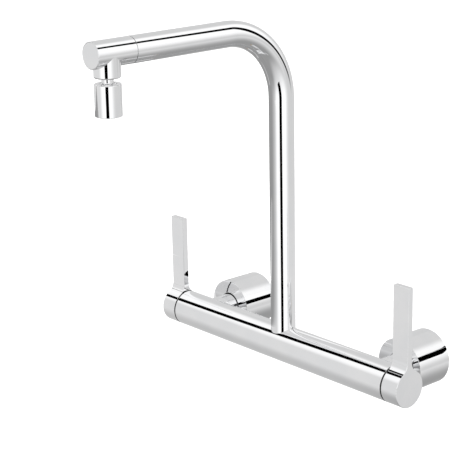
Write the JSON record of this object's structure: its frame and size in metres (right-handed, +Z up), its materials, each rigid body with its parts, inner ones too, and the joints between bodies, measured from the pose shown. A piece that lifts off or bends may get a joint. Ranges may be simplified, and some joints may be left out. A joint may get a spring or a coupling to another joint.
{
  "type": "wall-mounted kitchen mixer faucet",
  "caption": "Chrome wall-mounted kitchen mixer: round crossbar body, upright quarter-turn levers, tall square-bend swivel spout and a ball-jointed aerator.",
  "frame": {"origin": "on the wall surface, midway between the two inlets, at the height of the body's axis", "axes": "+X to the user's right along the body, +Y into the wall, +Z up along the spout's riser"},
  "size_m": [0.28, 0.2635, 0.2962],
  "materials": {
    "chrome": "polished chrome plate on brass",
    "brass": "plain machined brass",
    "steel": "stainless steel, machined",
    "rubber": "black moulded rubber",
    "ceramic": "lapped alumina ceramic",
    "plastic": "moulded acetal"
  },
  "bodies": {
    "fixed_body": {"body": "chrome", "spout_lock_screw": "steel", "thrust_washer": "plastic", "cartridge_housing_left": "brass", "cartridge_housing_right": "brass", "cartridge_oring_left": "rubber", "cartridge_oring_right": "rubber", "seat_seal_left": "rubber", "seat_seal_right": "rubber", "fixed_disc_left": "ceramic", "fixed_disc_right": "ceramic", "seam_ring_left": "rubber", "seam_ring_right": "rubber", "escutcheon_left": "chrome", "escutcheon_right": "chrome", "escutcheon_ring_left": "rubber", "escutcheon_ring_right": "rubber", "union_nut_left": "chrome", "union_nut_right": "chrome", "nut_clip_left": "steel", "nut_clip_right": "steel", "union_washer_left": "rubber", "union_washer_right": "rubber", "eccentric_left": "brass", "eccentric_right": "brass"},
    "lever_left": {"handle_left": "chrome", "handle_screw_left": "steel", "spindle_left": "brass", "spindle_oring_left": "rubber", "spindle_clip_left": "steel", "moving_disc_left": "ceramic"},
    "lever_right": {"handle_right": "chrome", "handle_screw_right": "steel", "spindle_right": "brass", "spindle_oring_right": "rubber", "spindle_clip_right": "steel", "moving_disc_right": "ceramic"},
    "spout": {"spout_tube": "chrome", "spout_foot": "brass", "spout_orings": "rubber", "spout_head": "chrome", "head_cap": "chrome", "head_oring": "rubber", "head_screw": "steel"},
    "ball": {"ball_stud": "chrome", "stud_oring": "rubber"},
    "aerator": {"aerator_housing": "chrome", "ball_seat": "rubber", "aerator_insert": "plastic", "aerator_mesh": "steel", "outlet_grid": "plastic"}
  },
  "joints": [
    {"name": "spout_swivel", "type": "hinge", "parent": "fixed_body", "child": "spout", "pos_m": [0, -0.0645, 0], "axis": [0, 0, 1], "range_deg": [-100, 100]},
    {"name": "lever_left_turn", "type": "hinge", "parent": "fixed_body", "child": "lever_left", "pos_m": [-0.1321, -0.0645, 0], "axis": [1, 0, 0], "range_deg": [0, 90]},
    {"name": "lever_right_turn", "type": "hinge", "parent": "fixed_body", "child": "lever_right", "pos_m": [0.1321, -0.0645, 0], "axis": [1, 0, 0], "range_deg": [0, 90]},
    {"name": "aerator_spin", "type": "hinge", "parent": "spout", "child": "ball", "pos_m": [0, -0.234, 0.246], "axis": [0, 0, 1], "continuous": true},
    {"name": "aerator_tilt", "type": "hinge", "parent": "ball", "child": "aerator", "pos_m": [0, -0.234, 0.2376], "axis": [1, 0, 0], "range_deg": [-15, 15]}
  ]
}
